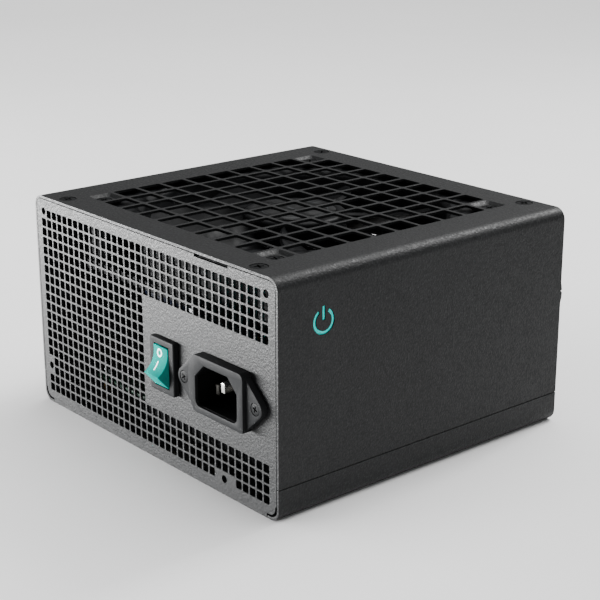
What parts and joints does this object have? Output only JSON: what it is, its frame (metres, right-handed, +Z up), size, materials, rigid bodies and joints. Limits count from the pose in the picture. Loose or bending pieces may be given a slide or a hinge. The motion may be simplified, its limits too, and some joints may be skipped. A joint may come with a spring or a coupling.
{
  "type": "computer power supply unit",
  "caption": "Box-shaped desktop computer power supply with vented steel case, top intake fan, mains inlet, rocker switch and inner power board.",
  "frame": {"origin": "middle of the tray's underside, on the plane the unit rests on", "axes": "+Z up towards the intake grille, -Y out through the mains inlet panel, +X to the right as seen from the inlet side"},
  "size_m": [0.1505, 0.1517, 0.086],
  "materials": {
    "coated_steel": "charcoal textured powder coat",
    "black_plastic": "matt moulded",
    "fan_plastic": "satin moulded",
    "teal_plastic": "satin teal",
    "black_steel": "black oxide",
    "nickel": "nickel plated",
    "steel": "bright",
    "aluminium": "extruded",
    "copper": "enamelled copper wire",
    "bronze": "plain",
    "ferrite": "matt sintered",
    "board": "green solder resist",
    "sleeve": "shrink sleeve",
    "yellow_film": "insulating tape",
    "label": "printed film"
  },
  "bodies": {
    "housing": {"top_cover": "coated_steel", "bottom_tray": "coated_steel", "ac_panel": "coated_steel", "rear_panel": "coated_steel", "cable_bushing": "black_plastic", "inlet_housing": "black_plastic", "switch_housing": "black_plastic", "insulation_sheet": "black_plastic", "bridge_rectifier": "black_plastic", "inlet_pin_live": "nickel", "inlet_pin_neutral": "nickel", "inlet_pin_earth": "nickel", "switch_terminal_1": "nickel", "switch_terminal_2": "nickel", "inlet_screw_1": "black_steel", "inlet_screw_2": "black_steel", "cover_screw_1": "black_steel", "cover_screw_2": "black_steel", "cover_screw_3": "black_steel", "cover_screw_4": "black_steel", "fan_screw_1": "black_steel", "fan_screw_2": "black_steel", "fan_screw_3": "black_steel", "fan_screw_4": "black_steel", "badge_plate": "teal_plastic", "fan_stator": "copper", "pfc_choke": "copper", "output_choke": "copper", "mains_filter_choke": "copper", "fan_frame": "fan_plastic", "board_screw_1": "steel", "board_screw_2": "steel", "board_screw_3": "steel", "board_screw_4": "steel", "transformer_core": "ferrite", "rating_label": "label", "fan_bearing": "bronze", "board_standoff_1": "bronze", "board_standoff_2": "bronze", "board_standoff_3": "bronze", "board_standoff_4": "bronze", "power_board": "board", "bulk_capacitor": "sleeve", "output_capacitor_1": "sleeve", "output_capacitor_2": "sleeve", "output_capacitor_3": "sleeve", "output_capacitor_4": "sleeve", "primary_heatsink": "aluminium", "secondary_heatsink": "aluminium", "transformer_winding": "yellow_film", "standby_transformer": "yellow_film", "mains_filter_capacitor": "yellow_film"},
    "fan_rotor": {"fan_impeller": "fan_plastic", "fan_shaft": "steel", "fan_magnet_ring": "ferrite", "fan_hub_label": "label"},
    "rocker": {"switch_rocker": "teal_plastic", "switch_plunger": "nickel"},
    "contact_blade": {"switch_contact_blade": "copper"}
  },
  "joints": [
    {"name": "fan_spin", "type": "hinge", "parent": "housing", "child": "fan_rotor", "pos_m": [0, 0, 0.07], "axis": [0, 0, 1], "continuous": true},
    {"name": "rocker_tilt", "type": "hinge", "parent": "housing", "child": "rocker", "pos_m": [0.0123, -0.06926, 0.0394], "axis": [1, 0, 0], "range_deg": [0, 48]},
    {"name": "blade_tilt", "type": "hinge", "parent": "housing", "child": "contact_blade", "pos_m": [0.0123, -0.06066, 0.0394], "axis": [1, 0, 0], "range_deg": [-17, 1]}
  ],
  "couplings": [
    {"joint": "blade_tilt", "follows": "rocker_tilt", "ratio": -0.33333}
  ]
}
